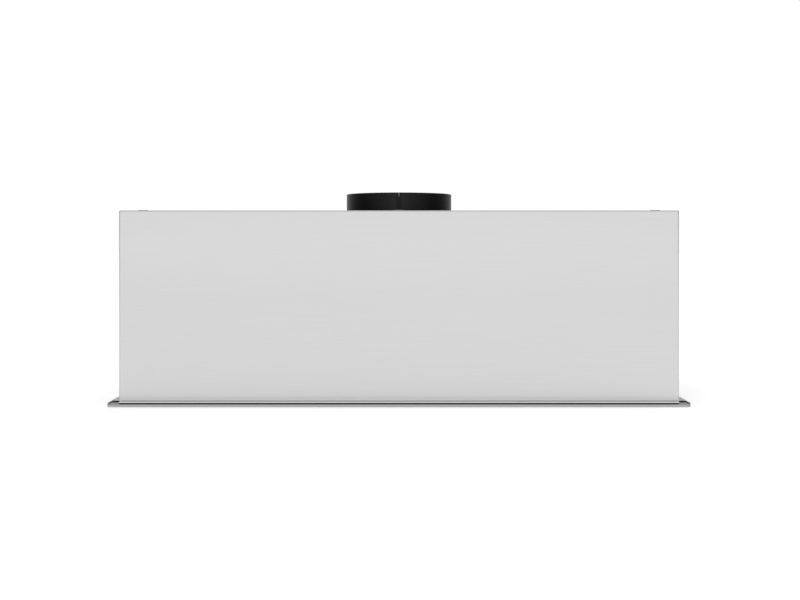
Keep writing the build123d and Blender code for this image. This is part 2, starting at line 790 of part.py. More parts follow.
cutoff_z = scroll_point(0, 0)[1]
with BuildPart() as scroll_wrap:
    with BuildSketch(Plane.YZ.offset(-scroll_half)):
        with BuildLine():
            inner_curve = Spline(*scroll_curve(0))
            outer_curve = Spline(*scroll_curve(scroll_sheet))
            Line(inner_curve @ 0, outer_curve @ 0)
            Line(inner_curve @ 1, outer_curve @ 1)
        make_face()
    extrude(amount=2 * scroll_half)
    across = both(scroll_half)
    slab(across, (-neck_half - scroll_sheet, -neck_half), (wheel_z, roof))
    slab(across, (neck_half, neck_half + scroll_sheet), (cutoff_z, roof))
    for side in (-1, 1):
        flange = (side * neck_half, side * (neck_half + scroll_flange))
        slab(across, flange, (roof - scroll_sheet, roof))
keep(scroll_wrap.part, "scroll_wrap")


def make_scroll_side(name, side):
    """A side plate of the scroll, with its top flange, and the inlet ring on it."""
    with BuildPart() as plate:
        with BuildSketch(Plane.YZ.offset(side * scroll_half)):
            with BuildLine():
                rim_curve = Spline(*scroll_curve(scroll_sheet))
                Line(rim_curve @ 1, rim_curve @ 0)
            make_face()
            with Locations((0, (wheel_z + roof) / 2)):
                Rectangle(2 * (neck_half + scroll_sheet), roof - wheel_z)
            with Locations((wheel_y, wheel_z)):
                Circle(wheel_bore + throat_round + slip, mode=Mode.SUBTRACT)
        extrude(amount=side * scroll_sheet)
        flange = (side * scroll_half, side * (scroll_half + scroll_flange))
        slab(flange, both(neck_half), (roof - scroll_sheet, roof))
        for x, y in neck_screws_at:
            rod((x, y, roof - scroll_sheet), (x, y, roof), screw_hole, Mode.SUBTRACT)
        for place in ring_places(inlet_screw_radius, inlet_screw_angles, side * scroll_half, side):
            end = place.origin + place.z_dir * scroll_sheet
            rod(tuple(place.origin), tuple(end), screw_hole, Mode.SUBTRACT)
    keep(plate.part, f"scroll_side_{name}")

    with BuildPart() as ring:
        with BuildSketch(wheel_plane):
            with BuildLine():
                near_face = side * scroll_side
                far_face = side * inlet_face
                turn_x = side * (inlet_face - throat_round)
                turn_r = wheel_bore + throat_round
                end_x = side * throat_end
                back_round = throat_round - inlet_sheet
                Line((near_face, inlet_flange_radius), (far_face, inlet_flange_radius))
                Line((far_face, inlet_flange_radius), (far_face, turn_r))
                swing = radians(45)
                mouth_x = turn_x + side * throat_round * cos(swing)
                mouth_r = turn_r - throat_round * sin(swing)
                ThreePointArc((far_face, turn_r), (mouth_x, mouth_r), (turn_x, wheel_bore))
                Line((turn_x, wheel_bore), (end_x, wheel_bore))
                Line((end_x, wheel_bore), (end_x, wheel_bore + inlet_sheet))
                Line((end_x, wheel_bore + inlet_sheet), (turn_x, wheel_bore + inlet_sheet))
                back_x = turn_x + side * back_round * cos(swing)
                back_r = turn_r - back_round * sin(swing)
                ThreePointArc((turn_x, wheel_bore + inlet_sheet), (back_x, back_r), (near_face, turn_r))
                Line((near_face, turn_r), (near_face, inlet_flange_radius))
            make_face()
        revolve(axis=wheel_axis)
        for place in ring_places(inlet_screw_radius, inlet_screw_angles, side * scroll_side, side):
            end = place.origin + place.z_dir * inlet_sheet
            rod(tuple(place.origin), tuple(end), screw_hole, Mode.SUBTRACT)
    keep(ring.part, f"inlet_ring_{name}")


make_scroll_side("left", -1)
make_scroll_side("right", 1)


def turned(points):
    """A solid turned about the fan's axis from places along it and radii."""
    with BuildSketch(wheel_plane) as section:
        with BuildLine():
            Polyline(*points, close=True)
        make_face()
    revolve(section.sketch, axis=wheel_axis)


# Fan wheel: a disc with its hub and two end rings in one node, the curved blades between them in another
with BuildSketch() as blade:
    with BuildLine():
        lean = radians(half_turn * blade_lean_share)
        half_sheet = blade_sheet / 2
        tip = (wheel_radius * cos(lean), wheel_radius * sin(lean))
        belly = ((wheel_bore + tip[0]) / 2, tip[1] / 2 - blade_bow)
        for offset_y in (-half_sheet, half_sheet):
            ThreePointArc(
                (wheel_bore, offset_y),
                (belly[0], belly[1] + offset_y),
                (tip[0], tip[1] + offset_y),
            )
        Line((wheel_bore, -half_sheet), (wheel_bore, half_sheet))
        Line((tip[0], tip[1] - half_sheet), (tip[0], tip[1] + half_sheet))
    make_face()

half_disc = wheel_disc / 2
ring_outer = wheel_radius + blade_sheet
ring_bore = wheel_bore - blade_sheet
with BuildPart() as impeller:
    for low in (-wheel_half, wheel_half - wheel_ring):
        high = low + wheel_ring
        turned([(low, ring_bore), (high, ring_bore), (high, ring_outer), (low, ring_outer)])
    bore = shaft_radius + running / 2
    turned([(-half_disc, bore), (half_disc, bore), (half_disc, ring_outer), (-half_disc, ring_outer)])
    turned([(-hub_back, bore), (hub_front, bore), (hub_front, hub_radius), (-hub_back, hub_radius)])
keep(impeller.part, "impeller")

with BuildPart() as impeller_blades:
    for low, high in ((-wheel_half + wheel_ring, -half_disc), (half_disc, wheel_half - wheel_ring)):
        with BuildSketch(Plane.YZ.offset(low)):
            with Locations((wheel_y, wheel_z)):
                with PolarLocations(0, blade_count):
                    add(blade.sketch)
        extrude(amount=high - low)
keep(impeller_blades.part, "impeller_blades")

with BuildPart() as impeller_nut:
    with BuildSketch(Plane.YZ.offset(hub_front)):
        with Locations((wheel_y, wheel_z)):
            RegularPolygon(nut_flats / 2, 6, major_radius=False)
            Circle(bore, mode=Mode.SUBTRACT)
    extrude(amount=nut_length)
keep(impeller_nut.part, "impeller_nut")

shaft_left = motor_left + shaft_tail
shaft_right = hub_front + shaft_nose
with BuildPart() as motor_shaft:
    rod((shaft_left, wheel_y, wheel_z), (shaft_right, wheel_y, wheel_z), shaft_radius)
    chamfer(motor_shaft.faces().sort_by(Axis.X)[-1].edges(), shaft_chamfer)
keep(motor_shaft.part, "motor_shaft")

# Motor: two drawn shells, each with a bearing seat on its end wall
motor_middle = (motor_left + motor_right) / 2


def make_motor_shell(name, side):
    end = motor_middle + side * motor_length / 2
    wall = end - side * motor_wall
    seat = wall - side * bearing_length
    seat_bore = bearing_radius + running / 2
    seat_outer = seat_bore + bearing_seat_wall
    with BuildPart() as shell:
        turned([(motor_middle, 0), (end, 0), (end, motor_radius), (motor_middle, motor_radius)])
        outer_rim = shell.faces().sort_by(Axis.X)[-1 if side > 0 else 0].edges()
        fillet(outer_rim, motor_round)
        inner_radius = motor_radius - motor_wall
        with BuildSketch(wheel_plane) as hollow_section:
            with BuildLine():
                Polyline(
                    (motor_middle, 0),
                    (wall, 0),
                    (wall, inner_radius - motor_round),
                    (wall - side * motor_round, inner_radius),
                    (motor_middle, inner_radius),
                    close=True,
                )
            make_face()
        revolve(hollow_section.sketch, axis=wheel_axis, mode=Mode.SUBTRACT)
        turned([(wall, seat_bore), (wall, seat_outer), (seat, seat_outer), (seat, seat_bore)])
        if side > 0:
            rod((wall, wheel_y, wheel_z), (end, wheel_y, wheel_z), shaft_radius + slip, Mode.SUBTRACT)
        else:
            for place in ring_places(motor_screw_radius, inlet_screw_angles, end, 1):
                stop = place.origin + place.z_dir * motor_wall
                rod(tuple(place.origin), tuple(stop), screw_hole, Mode.SUBTRACT)
    keep(shell.part, f"motor_shell_{name}")
    return seat, wall


left_seat, left_wall = make_motor_shell("left", -1)
right_seat, right_wall = make_motor_shell("right", 1)

with BuildPart() as motor_bearings:
    for start, end in ((left_wall, left_seat), (right_seat, right_wall)):
        bore = shaft_radius + running
        turned([(start, bore), (end, bore), (end, bearing_radius), (start, bearing_radius)])
        groove = (bore + bearing_race, bearing_radius - bearing_race)
        for face, inward in ((start, 1), (end, -1)):
            depth = inward * bearing_race / 2 * (1 if end > start else -1)
            with BuildSketch(wheel_plane) as groove_section:
                with BuildLine():
                    Polyline(
                        (face, groove[0]),
                        (face + depth, groove[0]),
                        (face + depth, groove[1]),
                        (face, groove[1]),
                        close=True,
                    )
                make_face()
            revolve(groove_section.sketch, axis=wheel_axis, mode=Mode.SUBTRACT)
keep(motor_bearings.part, "motor_bearings")

stack = (motor_middle - stator_length / 2, motor_middle + stator_length / 2)
with BuildPart() as motor_stator:
    stator_radius = motor_radius - motor_wall - running
    turned([
        (stack[0], stator_bore),
        (stack[1], stator_bore),
        (stack[1], stator_radius),
        (stack[0], stator_radius),
    ])
    coil_inner = stator_bore + (stator_radius - stator_bore - winding_width) / 2
    coil_outer = coil_inner + winding_width
    for face, outward in ((stack[0], -1), (stack[1], 1)):
        crown = face + outward * winding_length
        bulge = winding_width * winding_round_share
        turned([
            (face, coil_inner),
            (crown - outward * bulge, coil_inner),
            (crown, coil_inner + bulge),
            (crown, coil_outer - bulge),
            (crown - outward * bulge, coil_outer),
            (face, coil_outer),
        ])
keep(motor_stator.part, "motor_stator")

with BuildPart() as motor_rotor:
    rotor_radius = stator_bore - rotor_gap
    bore = shaft_radius + running / 2
    turned([(stack[0], bore), (stack[1], bore), (stack[1], rotor_radius), (stack[0], rotor_radius)])
    for face, outward in ((stack[0], -1), (stack[1], 1)):
        low = face
        high = face + outward * end_ring
        ring_in = rotor_radius / 2
        ring_out = rotor_radius - rotor_gap
        turned([(low, ring_in), (high, ring_in), (high, ring_out), (low, ring_out)])
keep(motor_rotor.part, "motor_rotor")

# Spider: a flat three-armed bracket from the inlet ring to the motor
lead_hole_offset = motor_screw_radius
with BuildPart() as motor_spider:
    with BuildSketch(Plane.YZ.offset(motor_left)):
        with Locations((wheel_y, wheel_z)):
            Circle(spider_hub)
            for angle in inlet_screw_angles:
                with PolarLocations(inlet_screw_radius / 2, 1, start_angle=angle):
                    Rectangle(inlet_screw_radius, spider_arm)
                with PolarLocations(inlet_screw_radius, 1, start_angle=angle):
                    Circle(spider_arm / 2)
                with PolarLocations(inlet_screw_radius, 1, start_angle=angle):
                    Circle(screw_hole, mode=Mode.SUBTRACT)
                with PolarLocations(motor_screw_radius, 1, start_angle=angle):
                    Circle(screw_hole, mode=Mode.SUBTRACT)
        with Locations((wheel_y, wheel_z + lead_hole_offset)):
            Circle(lead_radius + slip, mode=Mode.SUBTRACT)
    extrude(amount=-spider_sheet)
keep(motor_spider.part, "motor_spider")

# Wiring box under the roof, its cover and what it holds
with BuildPart() as electrical_box:
    slab((box_left, box_right), (box_front, box_rear), (box_floor, roof))
    hollow_x = (box_left + box_sheet, box_right - box_sheet)
    hollow_y = (box_front + box_sheet, box_rear - box_sheet)
    slab(hollow_x, hollow_y, (box_floor - overrun, roof + overrun), Mode.SUBTRACT)
    slab((box_left - box_flange, box_left), (box_front, box_rear), (roof - box_sheet, roof))
    slab((box_left, box_right), (box_front - box_flange, box_front), (roof - box_sheet, roof))
    tab_x = (content_x - box_flange, content_x + box_flange)
    for wall_y, inward in ((box_front, 1), (box_rear, -1)):
        tab_y = (wall_y, wall_y + inward * (box_flange + box_sheet))
        slab(tab_x, tab_y, (box_floor, box_floor + box_sheet))
        y = wall_y + inward * (box_sheet + box_flange / 2)
        rod((content_x, y, box_floor), (content_x, y, box_floor + box_sheet), screw_hole, Mode.SUBTRACT)
keep(electrical_box.part, "electrical_box")

cover_screws_at = [
    (content_x, box_front + box_sheet + box_flange / 2),
    (content_x, box_rear - box_sheet - box_flange / 2),
]
with BuildPart() as electrical_cover:
    slab((box_left, box_right), (box_front, box_rear), (box_floor - box_sheet, box_floor))
    for side_x, outward in ((box_left, -1), (box_right, 1)):
        turn = (side_x, side_x + outward * box_sheet)
        slab(turn, (box_front, box_rear), (box_floor - box_sheet, box_floor + box_flange))
    for x, y in cover_screws_at:
        rod((x, y, box_floor - box_sheet), (x, y, box_floor), screw_hole, Mode.SUBTRACT)
keep(electrical_cover.part, "electrical_cover")

with BuildPart() as terminal_block:
    length, depth, height = terminal_size
    block_y = (box_front + box_sheet + box_flange, box_front + box_sheet + box_flange + depth)
    slab((content_x - length / 2, content_x + length / 2), block_y, (roof - height, roof))
    pitch = length / terminal_count
    for index in range(terminal_count):
        x = content_x + (index - (terminal_count - 1) / 2) * pitch
        row = depth * terminal_row_share
        for y in (block_y[0] + row, block_y[1] - row):
            rod((x, y, roof - height), (x, y, roof - height / 2), terminal_screw_radius, Mode.SUBTRACT)
keep(terminal_block.part, "terminal_block")

with BuildPart() as led_driver:
    length, depth, height = driver_size
    driver_y = (box_rear - box_sheet - depth, box_rear - box_sheet)
    driver_z = (roof - box_flange - height, roof - box_flange)
    slab((content_x - length / 2, content_x + length / 2), driver_y, driver_z)
    fillet(led_driver.edges().filter_by(Axis.Z), box_sheet)
keep(led_driver.part, "led_driver")

with BuildPart() as capacitor:
    y = (block_y[1] + driver_y[0]) / 2
    z = roof - slip - capacitor_radius
    left = content_x - capacitor_length / 2
    rod((left, y, z), (left + capacitor_length, y, z), capacitor_radius)
    fillet(capacitor.faces().sort_by(Axis.X)[-1].edges(), capacitor_round)
keep(capacitor.part, "capacitor")

inner_places = [Plane(origin=(x, y, roof_top)) for x, y in neck_screws_at]
inner_places += ring_places(inlet_screw_radius, inlet_screw_angles, inlet_face, 1)
spider_face = motor_left - spider_sheet
inner_places += ring_places(inlet_screw_radius, inlet_screw_angles, spider_face, -1)
inner_places += ring_places(motor_screw_radius, inlet_screw_angles, spider_face, -1)
inner_places += [
    Plane(origin=(x, y, box_floor - box_sheet), z_dir=(0, 0, -1)) for x, y in cover_screws_at
]
screw_group("inner_screws", small_screw, inner_places)

# Cable bush in the roof, over the wiring box
with BuildPart() as cable_grommet:
    with BuildSketch(Plane(origin=(bush_x, bush_y, 0), x_dir=(1, 0, 0), z_dir=(0, -1, 0))):
        with BuildLine():
            neck_radius = bush_bore + bush_wall
            Polyline(
                (bush_bore, roof - bush_snap_length),
                (neck_radius, roof - bush_snap_length),
                (neck_radius + bush_snap, roof),
                (neck_radius, roof),
                (neck_radius, roof_top),
                (neck_radius + bush_lip, roof_top),
                (neck_radius + bush_lip / 2, roof_top + bush_lip_thickness),
                (bush_bore, roof_top + bush_lip_thickness),
                close=True,
            )
        make_face()
    revolve(axis=Axis((bush_x, bush_y, 0), (0, 0, 1)))
keep(cable_grommet.part, "cable_grommet")

# Controls: bezel, five buttons, switches, board and cover
with BuildPart() as control_bezel:
    with BuildSketch(Plane.XY.offset(bezel_base)):
        with Locations((0, strip_y)):
            RectangleRounded(bezel_width, bezel_depth, bezel_corner)
    extrude(amount=bezel_thickness)
    fillet(control_bezel.faces().sort_by(Axis.Z)[0].edges(), bezel_thickness / 2)
    boss_x = bezel_width / 2 - bezel_overlap - slip
    boss_y = bezel_depth / 2 - bezel_overlap - slip
    slab(both(boss_x), (strip_y - boss_y, strip_y + boss_y), (field, bezel_top))
    with BuildSketch(Plane.XY.offset(bezel_base)):
        with Locations((0, strip_y)):
            with GridLocations(button_spacing, button_spacing, len(button_names), 1):
                Circle(button_radius + button_gap)
    extrude(amount=bezel_top - bezel_base, mode=Mode.SUBTRACT)
keep(control_bezel.part, "control_bezel")

button_places = [
    (index - (len(button_names) - 1) / 2) * button_spacing for index in range(len(button_names))
]
for name, x in zip(button_names, button_places):
    with BuildPart() as button:
        rod((x, strip_y, button_base), (x, strip_y, stem_base), button_radius)
        fillet(button.faces().sort_by(Axis.Z)[0].edges(), button_round)
        rod((x, strip_y, flange_base), (x, strip_y, stem_base), button_radius + button_flange)
        rod((x, strip_y, stem_base), (x, strip_y, stem_base + stem_length), stem_radius)
    keep(button.part, f"button_{name}")

with BuildPart() as switch_bodies:
    for x in button_places:
        half = switch_size / 2
        across_x = (x - half, x + half)
        slab(across_x, (strip_y - half, strip_y + half), (switch_base, board_base))
        top = stem_base + stem_length + button_travel + slip
        rod((x, strip_y, switch_base), (x, strip_y, top), stem_radius + slip, Mode.SUBTRACT)
keep(switch_bodies.part, "switch_bodies")

with BuildPart() as control_board:
    board_x = cover_width / 2 - cover_wall - slip
    board_y = cover_depth / 2 - cover_wall - slip
    board_top = board_base + board_thickness
    slab(both(board_x), (strip_y - board_y, strip_y + board_y), (board_base, board_top))
keep(control_board.part, "control_board")

with BuildPart() as control_cover:
    cover_x = both(cover_width / 2)
    cover_y = (strip_y - cover_depth / 2, strip_y + cover_depth / 2)
    slab(cover_x, cover_y, (frame_edge, cover_top))
    fillet(control_cover.edges().filter_by(Axis.Z), cover_round)
    fillet(control_cover.faces().sort_by(Axis.Z)[-1].edges(), cover_wall / 2)
    hollow_x = both(cover_width / 2 - cover_wall)
    hollow_y = (cover_y[0] + cover_wall, cover_y[1] - cover_wall)
    slab(hollow_x, hollow_y, (frame_edge - overrun, cover_top - cover_wall), Mode.SUBTRACT)
keep(control_cover.part, "control_cover")


def make_light(name, side):
    """A round light: lipped tube through the frame, lens on its lip, board on its shelf."""
    centre = (side * light_offset, strip_y)
    axis = Axis((centre[0], centre[1], 0), (0, 0, 1))
    section_plane = Plane(origin=(centre[0], centre[1], 0), x_dir=(1, 0, 0), z_dir=(0, -1, 0))
    with BuildPart() as bezel:
        with BuildSketch(section_plane):
            with BuildLine():
                tube_top = light_base + light_wall + light_tube_height
                Polyline(
                    (light_opening, light_base),
                    (light_lip, light_base + light_wall / 2),
                    (light_lip, field),
                    (light_tube, field),
                    (light_tube, tube_top),
                    (light_tube - light_wall, tube_top),
                    (light_tube - light_wall, board_shelf),
                    (lens_radius + slip, board_shelf),
                    (lens_radius + slip, lens_base),
                    (light_opening, lens_base),
                    close=True,
                )
            make_face()
        revolve(axis=axis)
    keep(bezel.part, f"led_bezel_{name}")
    with BuildPart() as lens:
        rod((*centre, lens_base), (*centre, lens_base + lens_thickness), lens_radius)
    keep(lens.part, f"led_lens_{name}")
    with BuildPart() as board:
        board_radius = light_tube - light_wall - slip
        rod((*centre, board_shelf), (*centre, board_shelf + light_board_thickness), board_radius)
        chip_z = (board_shelf - led_thickness, board_shelf)
        for index in range(led_count):
            angle = radians(full_turn * index / led_count)
            x = centre[0] + lens_radius * led_ring_share * cos(angle)
            y = centre[1] + lens_radius * led_ring_share * sin(angle)
            slab((x - led_size / 2, x + led_size / 2), (y - led_size / 2, y + led_size / 2), chip_z)
    keep(board.part, f"led_board_{name}")


make_light("left", -1)
make_light("right", 1)


def lead(points, radius, bend):
    """A lead of straight runs and round bends along a route."""
    with BuildPart() as cable:
        with BuildLine() as route:
            FilletPolyline(*points, radius=bend)
        first = route.wire() % 0
        with BuildSketch(Plane(origin=points[0], z_dir=first)):
            Circle(radius)
        sweep(path=route.wire())
    return cable.part


# Inner leads, clipped along the roof and the front wall
lead_z = roof - lead_wall_gap - lead_radius
lead_y = box_rear - box_sheet - lead_wall_gap
drop_x = motor_left - spider_sheet - lead_bend - lead_wall_gap
motor_route = [
    (motor_left, wheel_y, wheel_z + lead_hole_offset),
    (drop_x, wheel_y, wheel_z + lead_hole_offset),
    (drop_x, wheel_y, lead_z),
    (drop_x, lead_y, lead_z),
    (box_left, lead_y, lead_z),
]
motor_lead = lead(motor_route, lead_radius, lead_bend)
keep(motor_lead, "motor_lead")

lead_x = box_right - 2 * lead_wall_gap
wall_y = -half_depth + sheet + lead_wall_gap
low_z = cover_top + lead_wall_gap
entry_x = bezel_width * lead_entry_share
light_z = board_shelf + light_board_thickness
with BuildPart() as control_leads:
    add(lead(
        [
            (lead_x, box_front, lead_z),
            (lead_x, wall_y, lead_z),
            (lead_x, wall_y, low_z),
            (entry_x, wall_y, low_z),
            (entry_x, strip_y, low_z),
            (entry_x, strip_y, cover_top),
        ],
        small_lead_radius,
        small_lead_bend - running,
    ))
    for side in (-1, 1):
        x = side * (cover_width / 2 - 2 * lead_wall_gap)
        add(lead(
            [
                (x, strip_y, cover_top),
                (x, strip_y, low_z),
                (side * light_offset, strip_y, low_z),
                (side * light_offset, strip_y, light_z),
            ],
            small_lead_radius,
            small_lead_bend,
        ))
keep(control_leads.part, "control_leads")
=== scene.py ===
# %% [markdown]
# A built-in range hood, seen from the front on white. The sheet-metal box, its moving filters, flaps, fan
# and buttons come ready made as solids. This lesson gives each of them its finish, adds the few things
# that are easier to draw as meshes, and lights the result like a plain product photograph.

# %% Load the solids
from math import cos, pi, radians, sin

import bmesh
import bpy
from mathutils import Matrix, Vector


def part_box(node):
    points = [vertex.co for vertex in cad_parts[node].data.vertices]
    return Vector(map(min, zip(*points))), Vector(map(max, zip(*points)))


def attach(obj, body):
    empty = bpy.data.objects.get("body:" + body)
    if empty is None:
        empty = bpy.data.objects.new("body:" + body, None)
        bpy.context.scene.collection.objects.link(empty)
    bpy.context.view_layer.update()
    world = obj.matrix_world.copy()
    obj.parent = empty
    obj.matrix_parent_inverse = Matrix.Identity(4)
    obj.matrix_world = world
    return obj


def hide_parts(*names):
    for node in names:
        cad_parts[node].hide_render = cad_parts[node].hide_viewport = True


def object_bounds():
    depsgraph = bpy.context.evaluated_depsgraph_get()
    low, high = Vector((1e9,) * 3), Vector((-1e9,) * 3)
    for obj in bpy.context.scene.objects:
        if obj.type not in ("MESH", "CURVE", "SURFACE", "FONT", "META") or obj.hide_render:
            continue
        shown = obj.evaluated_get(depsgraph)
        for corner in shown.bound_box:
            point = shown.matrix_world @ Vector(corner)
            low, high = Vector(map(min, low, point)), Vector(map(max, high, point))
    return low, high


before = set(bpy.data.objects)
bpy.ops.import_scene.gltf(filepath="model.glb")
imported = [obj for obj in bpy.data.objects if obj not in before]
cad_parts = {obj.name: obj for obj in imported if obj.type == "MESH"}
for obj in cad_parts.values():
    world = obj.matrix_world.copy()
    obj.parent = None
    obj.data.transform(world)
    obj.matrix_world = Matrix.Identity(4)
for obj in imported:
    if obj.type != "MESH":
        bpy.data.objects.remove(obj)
solid_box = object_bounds()
low, high = solid_box

# %% [markdown]
# A finish is a shader with a few textures in front of it. They could be painted pictures, but a picture
# needs unwrapping and blurs up close. Textures worked out from each point's own place in metres need
# neither, so a brush line or a grain of plastic has its true size on every piece.

# %% Helpers that wire a finish
NOISE_RANGE = (0.25, 0.75)


def start_finish(name, colour, metallic, roughness):
    """A new material whose plain values are set on its shader."""
    material = bpy.data.materials.new(name)
    material.use_nodes = True
    shader = material.node_tree.nodes["Principled BSDF"]
    shader.inputs["Base Color"].default_value = (*colour, 1)
    shader.inputs["Metallic"].default_value = metallic
    shader.inputs["Roughness"].default_value = roughness
    return material


def shader_of(material):
    return material.node_tree.nodes["Principled BSDF"]


def add_node(material, kind, **values):
    """Adds a node; each value sets the input of that name, or else the property of that name."""
    node = material.node_tree.nodes.new(kind)
    for name, value in values.items():
        label = name.replace("_", " ").title()
        if label in node.inputs:
            node.inputs[label].default_value = value
        else:
            setattr(node, name, value)
    return node


def link(material, source, target):
    material.node_tree.links.new(source, target)


def place(material, scale=(1, 1, 1)):
    """Each point's place on the piece in metres, stretched by scale."""
    where = add_node(material, "ShaderNodeTexCoord")
    stretch = add_node(material, "ShaderNodeMapping")
    stretch.inputs["Scale"].default_value = scale
    link(material, where.outputs["Object"], stretch.inputs["Vector"])
    return stretch.outputs["Vector"]


def noise(material, vector, scale, detail):
    """Soft random patches; scale counts them per metre, and detail adds finer ones."""
    node = add_node(material, "ShaderNodeTexNoise", scale=scale, detail=detail)
    link(material, vector, node.inputs["Vector"])
    return node.outputs["Fac"]


def spread(material, factor, from_low, from_high, to_low, to_high):
    """Moves a factor from one range of numbers to another."""
    node = add_node(material, "ShaderNodeMapRange")
    limits = {"From Min": from_low, "From Max": from_high, "To Min": to_low, "To Max": to_high}
    for name, value in limits.items():
        node.inputs[name].default_value = value
    link(material, factor, node.inputs["Value"])
    return node.outputs["Result"]


def reckon(material, operation, first, second=None):
    """One sum on numbers or sockets."""
    node = add_node(material, "ShaderNodeMath", operation=operation)
    for slot_number, value in enumerate((first, second)):
        if value is None:
            continue
        if isinstance(value, bpy.types.NodeSocket):
            link(material, value, node.inputs[slot_number])
        else:
            node.inputs[slot_number].default_value = value
    return node.outputs["Value"]


def mix_numbers(material, factor, first, second):
    """Goes from the first number or socket to the second as the factor rises."""
    node = add_node(material, "ShaderNodeMix", data_type="FLOAT")
    for name, value in (("Factor", factor), ("A", first), ("B", second)):
        socket = next(one for one in node.inputs if one.name == name and one.type == "VALUE")
        if isinstance(value, bpy.types.NodeSocket):
            link(material, value, socket)
        else:
            socket.default_value = value
    return next(one for one in node.outputs if one.type == "VALUE")


def mix_colours(material, factor, first, second):
    """Goes from the first colour's socket to the second colour as the factor rises."""
    node = add_node(material, "ShaderNodeMix", data_type="RGBA")
    link(material, factor, next(one for one in node.inputs if one.name == "Factor" and one.type == "VALUE"))
    link(material, first, next(one for one in node.inputs if one.name == "A" and one.type == "RGBA"))
    target = next(one for one in node.inputs if one.name == "B" and one.type == "RGBA")
    target.default_value = (*second, 1)
    return next(one for one in node.outputs if one.type == "RGBA")


def two_tone(material, factor, dark, light):
    """The surface's colour goes from dark to light with the factor."""
    ramp = add_node(material, "ShaderNodeValToRGB")
    ramp.color_ramp.elements[0].color = (*dark, 1)
    ramp.color_ramp.elements[1].color = (*light, 1)
    link(material, factor, ramp.inputs["Fac"])
    link(material, ramp.outputs["Color"], shader_of(material).inputs["Base Color"])


def gloss(material, factor, smooth, rough):
    """The surface goes from smooth to rough with the factor."""
    value = spread(material, factor, *NOISE_RANGE, smooth, rough)
    link(material, value, shader_of(material).inputs["Roughness"])


def relief(material, factor, height, strength=1.0):
    """Raises the surface's shading by the factor, height metres at most."""
    bump = add_node(material, "ShaderNodeBump", strength=strength, distance=height)
    link(material, factor, bump.inputs["Height"])
    link(material, bump.outputs["Normal"], shader_of(material).inputs["Normal"])


def shade(colour, share):
    """The same colour, lighter or darker by a share."""
    return tuple(part * share for part in colour)


def colour_times(material, factor):
    """Multiplies the surface's colour, as wired so far, by a number's socket."""
    target = shader_of(material).inputs["Base Color"]
    product = add_node(material, "ShaderNodeVectorMath", operation="MULTIPLY")
    link(material, target.links[0].from_socket, product.inputs[0])
    link(material, factor, product.inputs[1])
    link(material, product.outputs["Vector"], target)


def stepped(material, value, steps):
    """A share that follows a value through (value, share) steps, straight between them."""
    first, last = steps[0][0], steps[-1][0]
    ramp = add_node(material, "ShaderNodeValToRGB")
    points = ramp.color_ramp.elements
    while len(points) < len(steps):
        points.new(0.5)
    for point, (at, share) in zip(points, steps):
        point.position = (at - first) / (last - first)
        point.color = (share, share, share, 1)
    link(material, spread(material, value, first, last, 0, 1), ramp.inputs["Fac"])
    return ramp.outputs["Color"]


def split_place(material):
    """The sockets of a point's X, Y and Z on the piece, in metres."""
    split = add_node(material, "ShaderNodeSeparateXYZ")
    link(material, place(material), split.inputs["Vector"])
    return split.outputs


print("helpers ready")

# %% [markdown]
# Brushed stainless sheet. A belt has drawn thousands of fine scratches along the sheet before it was
# folded, so the lines run level round the box. Random patches stretched very long in one direction look
# the same. On the side walls the lines run front to back, so there a second set takes over, chosen by
# which way the surface faces.

# %% Brush lines
ALONG = 14
ACROSS = 1100
SIDE_WALL = 0.7
CLOUD_SHARE = 0.35


def brushed_lines(material):
    """Long fine lines that run level on every wall."""
    by_front = noise(material, place(material, (ALONG, ACROSS, ACROSS)), 1, detail=3)
    by_side = noise(material, place(material, (ACROSS, ALONG, ACROSS)), 1, detail=3)
    facing = add_node(material, "ShaderNodeNewGeometry")
    split = add_node(material, "ShaderNodeSeparateXYZ")
    link(material, facing.outputs["Normal"], split.inputs["Vector"])
    sideways = reckon(material, "ABSOLUTE", split.outputs["X"])
    chosen = reckon(material, "GREATER_THAN", sideways, SIDE_WALL)
    return mix_numbers(material, chosen, by_front, by_side)


def brushed_steel(name, colour, roughness, depth=8e-6, contrast=0.035, cloud=5):
    """Satin steel: brush lines in colour, gloss and relief, with a faint cloudiness of handling."""
    material = start_finish(name, colour, metallic=1.0, roughness=roughness)
    lines = brushed_lines(material)
    clouds = noise(material, place(material), cloud, detail=4)
    mixed = mix_numbers(material, CLOUD_SHARE, lines, clouds)
    two_tone(material, mixed, shade(colour, 1 - 2 * contrast), shade(colour, 1 + 2 * contrast))
    gloss(material, mixed, smooth=roughness - 0.05, rough=roughness + 0.06)
    relief(material, lines, depth)
    return material


print("brush lines per metre:", ACROSS)

# %% [markdown]
# The same sheet looks different in each place. The box is the palest. The frame round its foot, the
# screws and the roof catch less light, so their steel is darker. The box's lowest part also gets painted
# shade, darkest just above the foot's fold: a table of heights and shares says how much.

# %% The hood's steels
STAINLESS = (0.685, 0.68, 0.68)
# Painted shade: heights in metres, each with a share of the box's colour.
PAINTED_FOOT_SHADE = (
    (0.0067, 1.0),
    (0.0085, 0.98),
    (0.0105, 0.855),
    (0.014, 0.92),
    (0.03, 0.935),
    (0.14, 0.955),
    (0.21, 1.0),
)


def painted_shade_steel(name, colour, roughness):
    """Body sheet with painted shade over its lowest part, darkest just above its foot's fold."""
    material = brushed_steel(name, colour, roughness)
    # The painted shade multiplies the colour by the share for each point's height.
    colour_times(material, stepped(material, split_place(material)["Z"], PAINTED_FOOT_SHADE))
    return material


